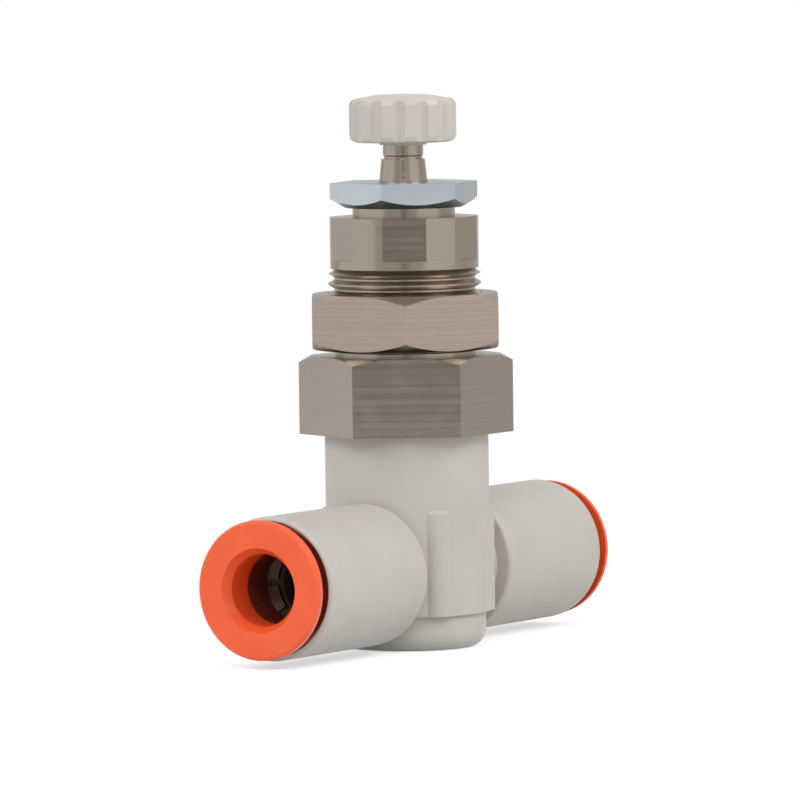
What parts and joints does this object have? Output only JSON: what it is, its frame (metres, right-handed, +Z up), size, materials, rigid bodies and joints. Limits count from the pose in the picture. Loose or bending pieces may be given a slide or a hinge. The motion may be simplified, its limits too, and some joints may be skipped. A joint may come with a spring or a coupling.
{
  "type": "flow control valve",
  "caption": "In-line pneumatic speed controller with push-in tube ports, a panel-mount thread and nut, a needle with a fluted adjusting knob and a lock nut.",
  "frame": {"origin": "centre of the flat foot under the body, on the needle's axis", "axes": "+X along the run of the two tube ports, towards the right-hand port; +Z up the needle towards the knob"},
  "size_m": [0.054, 0.0196, 0.0507],
  "materials": {
    "body_plastic": "moulded light grey engineering plastic, fine satin texture",
    "plated_brass": "nickel-plated brass, turned and milled, satin",
    "plated_nut": "nickel-plated brass nut with turned faces, satin",
    "zinc_nut": "bright zinc-plated steel, faintly blue",
    "knob_plastic": "moulded off-white grey plastic",
    "button_plastic": "moulded orange acetal, semi-gloss",
    "collet_plastic": "moulded orange acetal, satin",
    "guide_metal": "turned, bare",
    "spring_steel": "stamped stainless spring sheet",
    "ring_plastic": "moulded grey plastic",
    "seal_rubber": "black nitrile rubber, matt"
  },
  "bodies": {
    "valve": {"valve_body": "body_plastic", "bonnet": "plated_brass", "seat_ring": "plated_brass", "check_seal": "seal_rubber", "bonnet_o_ring": "seal_rubber", "guide_left": "guide_metal", "chuck_left": "spring_steel", "spacer_ring_left": "ring_plastic", "tube_seal_left": "seal_rubber", "guide_right": "guide_metal", "chuck_right": "spring_steel", "spacer_ring_right": "ring_plastic", "tube_seal_right": "seal_rubber"},
    "needle_ring": {"needle_o_ring": "seal_rubber"},
    "needle_stem": {"needle": "plated_brass", "adjusting_knob": "knob_plastic"},
    "locking_nut": {"lock_nut": "zinc_nut"},
    "mounting_nut": {"panel_nut": "plated_nut"},
    "button_left": {"release_button_left": "button_plastic", "collet_left": "collet_plastic"},
    "button_right": {"release_button_right": "button_plastic", "collet_right": "collet_plastic"}
  },
  "joints": [
    {"name": "needle_travel", "type": "slide", "parent": "valve", "child": "needle_ring", "axis": [0, 0, 1], "range_m": [-0.0031, 0]},
    {"name": "knob_turn", "type": "hinge", "parent": "needle_ring", "child": "needle_stem", "pos_m": [0, 0, 0.0485], "axis": [0, 0, 1], "range_deg": [-2235, 0]},
    {"name": "lock_nut_turn", "type": "hinge", "parent": "valve", "child": "locking_nut", "pos_m": [0, 0, 0.0415], "axis": [0, 0, 1], "range_deg": [0, 288]},
    {"name": "panel_nut_travel", "type": "slide", "parent": "valve", "child": "mounting_nut", "axis": [0, 0, 1], "range_m": [-0.00055, 0.0031]},
    {"name": "button_press_left", "type": "slide", "parent": "valve", "child": "button_left", "axis": [1, 0, 0], "range_m": [0, 0.001], "stiffness_N_per_m": 500},
    {"name": "button_press_right", "type": "slide", "parent": "valve", "child": "button_right", "axis": [-1, 0, 0], "range_m": [0, 0.001], "stiffness_N_per_m": 500}
  ],
  "couplings": [
    {"joint": "knob_turn", "follows": "needle_travel", "rad_per_m": 12566}
  ]
}
